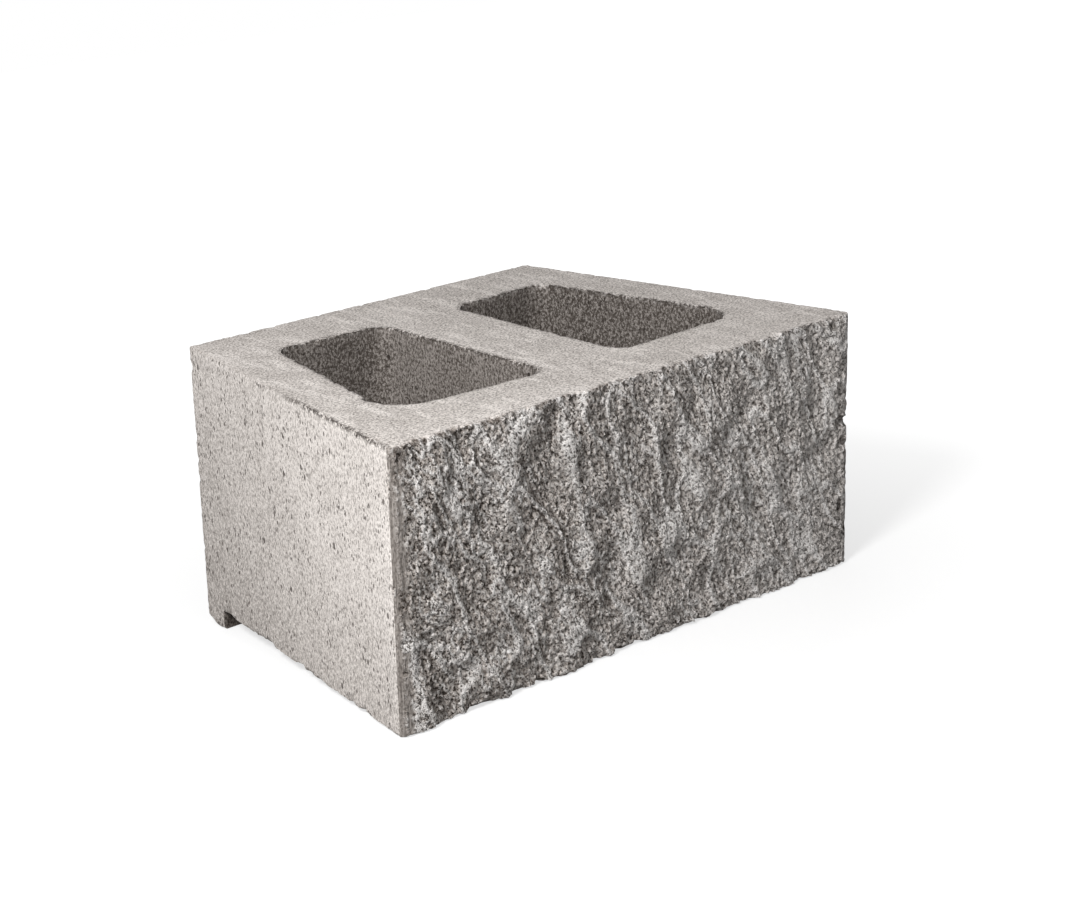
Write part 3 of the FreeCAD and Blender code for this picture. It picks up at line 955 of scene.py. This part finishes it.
def split_colour(s):
    """Colour and bump height of freshly split concrete, with painted highlights and shade."""
    body = s.noise(26, 4, roughness=0.6)
    colour = s.mix(s.span(body, 0.38, 0.62), grey(214, 1.5), grey(236, 1.5))
    stones = s.cells(2.8, (1, 1, 1.2), LEAN)
    tone = s.node("SeparateColor", {"Color": stones.outputs["Color"]})
    colour = s.mix(s.span(tone.outputs[0], 0.5, 1, 0.0, 0.65), colour, grey(122, 1.5))
    colour = s.mix(s.span(tone.outputs[1], 0.65, 0.95), colour, grey(252))
    # Painted highlight where the main forms face the lamp at the left, painted shade where they
    # face right.
    facing_left = s.attribute("slope_to_lamp")
    colour = s.mix(s.span(facing_left, 0.08, 0.4, 0.0, 0.6), colour, grey(252))
    colour = s.mix(s.span(facing_left, -0.06, -0.35, 0.0, 0.45), colour, grey(110, 1.5))
    place = s.own()
    # Painted light: lighter towards the right, where the lamp at the left lights less, and darker
    # at the left.
    painted_light_across = s.axes(place)[0]
    colour = s.mix(s.span(painted_light_across, -0.1, 0.22, 0.0, 0.7), colour, grey(254))
    colour = s.mix(s.span(painted_light_across, 0.0, -0.22, 0.0, 0.3), colour, grey(150, 1.5))
    # Painted highlight on what stands forward and painted shade in the hollows.
    painted_crest_light = s.attribute("crest")
    colour = s.mix(s.span(painted_crest_light, 0.15, 1.0, 0.0, 0.8), colour, grey(252))
    colour = s.mix(s.span(painted_crest_light, -0.2, -1.4, 0.0, 0.6), colour, grey(100, 1.5))
    fine = s.noise(1.75, 3, (1, 1, 1.4), 0.75, LEAN)
    # Painted light: the grain turns paler towards the right.
    fine = s.math("ADD", fine, s.span(painted_light_across, 0.0, 0.2, 0.0, 0.012))
    # Painted shade: near-black pits and gaps between the grains, fewer of them towards the right
    # as painted light.
    gap = s.span(stones.outputs["Distance"], 0.5, 0.65)
    low = s.math("MAXIMUM", s.span(fine, 0.47, 0.43), s.math("MULTIPLY", gap, 0.6))
    low = s.math("MULTIPLY", low, s.span(painted_light_across, -0.2, 0.2, 0.97, 0.87))
    colour = s.mix(low, colour, grey(38, 1.5))
    # Painted highlights: white grains where the grain is lit, most on the crests, and white along
    # the crest lines.
    crest_highlight = s.attribute("crest_highlight")
    lit = s.span(painted_crest_light, -0.9, 0.3, 0.3, 1.0)
    lit = s.math("MULTIPLY", s.span(fine, 0.53, 0.57), lit)
    lit = s.math("MULTIPLY", lit, s.span(crest_highlight, 0, 0.6, 0.5, 1))
    colour = s.mix(lit, colour, grey(255, 0.6))
    crest_glint = s.math("MULTIPLY", crest_highlight, s.span(fine, 0.45, 0.49, 0.1, 1.0))
    colour = s.mix(crest_glint, colour, grey(255, 0.6))
    flat = s.node("VectorMath", {0: place, 1: (1, 0, 1)}, operation="MULTIPLY").outputs[0]
    for x, z, radius in SPECKS:
        inputs = {0: flat, 1: (x * MM, 0, z * MM)}
        gap = s.node("VectorMath", inputs, operation="DISTANCE").outputs["Value"]
        colour = s.mix(s.span(gap, radius * MM, radius * MM * 0.6), colour, grey(255, 0.5))
    height = s.noise(3.0, 2, (1, 1, 1.7), 0.5, LEAN)
    height = s.math("ADD", s.math("MULTIPLY", fine, 2.2), height)
    height = s.math("ADD", height, s.math("MULTIPLY", stones.outputs["Distance"], -0.8))
    return colour, height


def blend_split(s, colour, height, share):
    """Turn a finish into split concrete by a share."""
    split, split_height = split_colour(s)
    height = s.node("Mix", {0: share, 2: height, 3: split_height}).outputs[0]
    return s.mix(share, colour, split), height


def moulded_material(name, level, grain_size, contrast, vertical, small, large,
                     fall=0, ways=(0, 0, 0), smears=0.0, shade=0.0):
    """Cast face: cloudy grey with a grain and two sizes of pores.

    It gets darker by up to fall levels, with the weights in ways downwards, to the
    back and to the right, as painted shade. With a fall, shade darkens what faces the
    front and, at the right, what faces left instead, as painted shade too. Smears are
    pale and run from front to back. small and large give the share of cells with a
    pore, and the pores' width in cells. The pores are painted dark, as painted shade.
    """
    s = Shader(name)
    stretch = (1, 1, vertical)
    clouds = s.noise(70, 5, roughness=0.6)
    colour = s.mix(s.span(clouds, 0.4, 0.6), grey(level - 10), grey(level + 9))
    # Painted shade: darker downwards, to the back and to the right, and on faces turned to the
    # front or, at the right, turned left.
    if fall:
        place = s.axes(s.own())
        down = s.span(place[2], TOP * MM, 0)
        back = s.span(place[1], BEVEL_Y * MM, BACK_Y * MM)
        right = s.span(place[0], -0.04, 0.15)
        weight = s.math("MULTIPLY", s.math("POWER", down, 2.0), ways[0])
        weight = s.math("MULTIPLY_ADD", back, ways[1], weight)
        weight = s.math("MULTIPLY_ADD", right, ways[2], weight)
        colour = s.mix(weight, colour, grey(level - fall))
        if shade:
            turned = s.axes(s.own("Normal"))
            front = s.span(turned[1], -0.1, -0.9, 0.0, shade)
            front = s.math("MULTIPLY", front, s.span(right, 0, 1, 1, 0.1))
            left = s.math("MULTIPLY", s.span(turned[0], -0.1, -0.9, 0.0, shade), right)
            colour = s.mix(s.math("ADD", front, left), colour, grey(level * 0.5))
    blots = s.noise(14, 4, roughness=0.6)
    colour = s.mix(s.span(blots, 0.5, 0.66, 0.0, 0.45), colour, grey(level - 26))
    if smears:
        smear = s.noise(11, 4, (1, 4, 1), 0.6)
        colour = s.mix(s.span(smear, 0.5, 0.64, 0.0, smears), colour, grey(level + 34))
        flecks = pores(s, 13, (2.5, 1, 1), 0.16, 0.1)
        colour = s.mix(flecks, colour, grey(246))
    grain = s.noise(grain_size, 3, stretch, 0.8)
    colour = s.mix(s.span(grain, 0.49, 0.4, 0.0, contrast), colour, grey(level * 0.5))
    pale = grey(min(250, level + 40))
    colour = s.mix(s.span(grain, 0.51, 0.58, 0.0, contrast * 0.8), colour, pale)
    clusters = s.span(s.noise(15, 3), 0.45, 0.56, 0.3, 1.0)
    # Pores painted dark: painted shade inside them.
    fine_holes = s.math("MULTIPLY", pores(s, 2.7, stretch, small[0], small[1]), clusters)
    colour = s.mix(s.math("MULTIPLY", fine_holes, 0.9), colour, grey(level * 0.45))
    big_holes = s.math("MULTIPLY", pores(s, 6.5, stretch, large[0], large[1]), clusters)
    colour = s.mix(s.math("MULTIPLY", big_holes, 0.9), colour, grey(level * 0.38))
    gaps = s.math("MULTIPLY", s.span(s.noise(2.4, 2), 0.55, 0.48), s.attribute("crumbled"))
    holes = s.math("MAXIMUM", s.math("MAXIMUM", fine_holes, big_holes), gaps)
    height = s.math("SUBTRACT", s.math("MULTIPLY", grain, 0.9), holes)
    colour, height = blend_split(s, colour, height, s.attribute("broken"))
    # Painted shade in the gaps of the crumbled rims.
    colour = s.mix(s.math("MULTIPLY", gaps, 0.9), colour, grey(54))
    return s.finish(colour, height, 0.0007, 0.92)


def striated(s):
    """Colour and bump height of the drawn strip beside the split; its dark level is painted
    shade.
    """
    streaks = s.noise(1.3, 3, (1, 1, 16), 0.6)
    colour = s.mix(s.span(streaks, 0.4, 0.6), grey(124), grey(156))
    grain = s.noise(1.4, 2, (1, 1, 2), 0.6)
    colour = s.mix(s.span(grain, 0.5, 0.42, 0.0, 0.7), colour, grey(84))
    return colour, streaks


def split_material(name):
    """Split concrete, with the drawn strip where it isn't broken."""
    s = Shader(name)
    colour, height = striated(s)
    colour, height = blend_split(s, colour, height, s.attribute("broken"))
    return s.finish(colour, height, 0.002, 0.95)


finishes = {
    # Sides, back and lip: darker downwards and to the back, as painted shade.
    "side": moulded_material("side_concrete", 225, 1.4, 0.65, 1.8, (0.85, 0.42), (0.5, 0.26),
                             fall=56, ways=(0.7, 0.52, 0)),
    "bed": moulded_material("bed_concrete", 200, 1.7, 0.75, 1.0, (0.3, 0.3), (0.1, 0.16),
                            smears=0.8),
    "bevel": split_material("bevel_concrete"),
    # Cores: a dark level, darker downwards, to the back and to the right, and on walls turned to
    # the front or, at the right, turned left: painted shade in the cores.
    "core": moulded_material("core_concrete", 128, 1.7, 0.95, 1.4, (0.5, 0.36), (0.4, 0.26),
                             fall=60, ways=(0.35, 0.15, 0.25), shade=0.55),
    # The lip's front face: a very dark level, painted shade under the block.
    "lip_shade": moulded_material("lip_shade_concrete", 74, 1.7, 0.9, 1.4, (0.5, 0.36),
                               (0.4, 0.26)),
    "split": split_material("split_concrete"),
}
for kind in MATERIALS:
    mesh.materials.append(finishes[kind])

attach(block, "root")
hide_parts(NODE)

# A floor under the lip and the front edge, on which the block would lean by the tilt.
# It is white to the camera, but for a faint shadow.
tilt = math.atan2(BED, LIP_Y - SPLIT_Y)
centre = Vector((0, (LIP_Y + SPLIT_Y) / 2 * MM, BED / 2 * MM - 0.0004))
half = 4.0
floor_mesh = bpy.data.meshes.new("floor")
corners = [(sx * half, sy * half, 0) for sx, sy in ((-1, -1), (1, -1), (1, 1), (-1, 1))]
floor_mesh.from_pydata(corners, [], [(0, 1, 2, 3)])
floor = bpy.data.objects.new("floor", floor_mesh)
bpy.context.collection.objects.link(floor)
floor.matrix_world = Matrix.Translation(centre) @ Matrix.Rotation(-tilt, 4, "X")
s = Shader("pale_floor")
seen = s.node("LightPath").outputs["Is Camera Ray"]
away = s.node("VectorMath", {0: s.own()}, operation="LENGTH").outputs["Value"]
strength = s.math("MULTIPLY", seen, s.span(away, 0.25, 0.9, 0.66, 1.0))
glow = s.node("Emission", {"Color": (1, 1, 1, 1), "Strength": strength})
matt = s.node("BsdfDiffuse", {"Color": (0.4, 0.4, 0.4, 1)})
both = s.node("AddShader", {0: matt.outputs[0], 1: glow.outputs[0]})
s.node("OutputMaterial", {"Surface": both.outputs[0]})
floor_mesh.materials.append(s.material)

# A soft even light from all round, seen by the camera as white.
scene = bpy.context.scene
world = bpy.data.worlds.new("studio")
scene.world = world
world.use_nodes = True
nodes, links = world.node_tree.nodes, world.node_tree.links
nodes.clear()
light_path = nodes.new("ShaderNodeLightPath")
strength = nodes.new("ShaderNodeMapRange")
strength.inputs["To Min"].default_value = 0.35
strength.inputs["To Max"].default_value = 1.0
background = nodes.new("ShaderNodeBackground")
out = nodes.new("ShaderNodeOutputWorld")
links.new(light_path.outputs["Is Camera Ray"], strength.inputs["Value"])
links.new(strength.outputs[0], background.inputs["Strength"])
links.new(background.outputs[0], out.inputs["Surface"])
background.inputs["Color"].default_value = (1, 1, 1, 1)


def lamp(name, direction, distance, size, power, target):
    """Round lamp that lights a target from a direction and distance."""
    data = bpy.data.lights.new(name, "AREA")
    data.shape = "DISK"
    data.size = size
    data.energy = power
    lit = bpy.data.objects.new(name, data)
    bpy.context.collection.objects.link(lit)
    direction = Vector(direction).normalized()
    lit.location = Vector(target) + direction * distance
    lit.rotation_euler = direction.to_track_quat("Z", "Y").to_euler()


lamp("key", (-0.71, -0.33, 0.62), 1.4, 0.35, 20.8, (-0.1, -0.08, 0.15))

# The camera of the photograph. Its lens is 2355 of the 1078 pixels across.
camera_data = bpy.data.cameras.new("camera")
camera_data.sensor_width = 36.0
camera_data.lens = 2355.07 * 36.0 / 1078
camera_data.clip_end = 50.0
camera = bpy.data.objects.new("camera", camera_data)
bpy.context.collection.objects.link(camera)
right = Vector((0.72996, -0.68300, -0.02594))
up = Vector((0.22857, 0.20817, 0.95101))
back = right.cross(up)
turn = Matrix((right, up, back)).transposed().to_4x4()
camera.matrix_world = Matrix.Translation((-1.12517, -1.26481, 0.67665)) @ turn
scene.camera = camera
scene.view_settings.view_transform = "Standard"
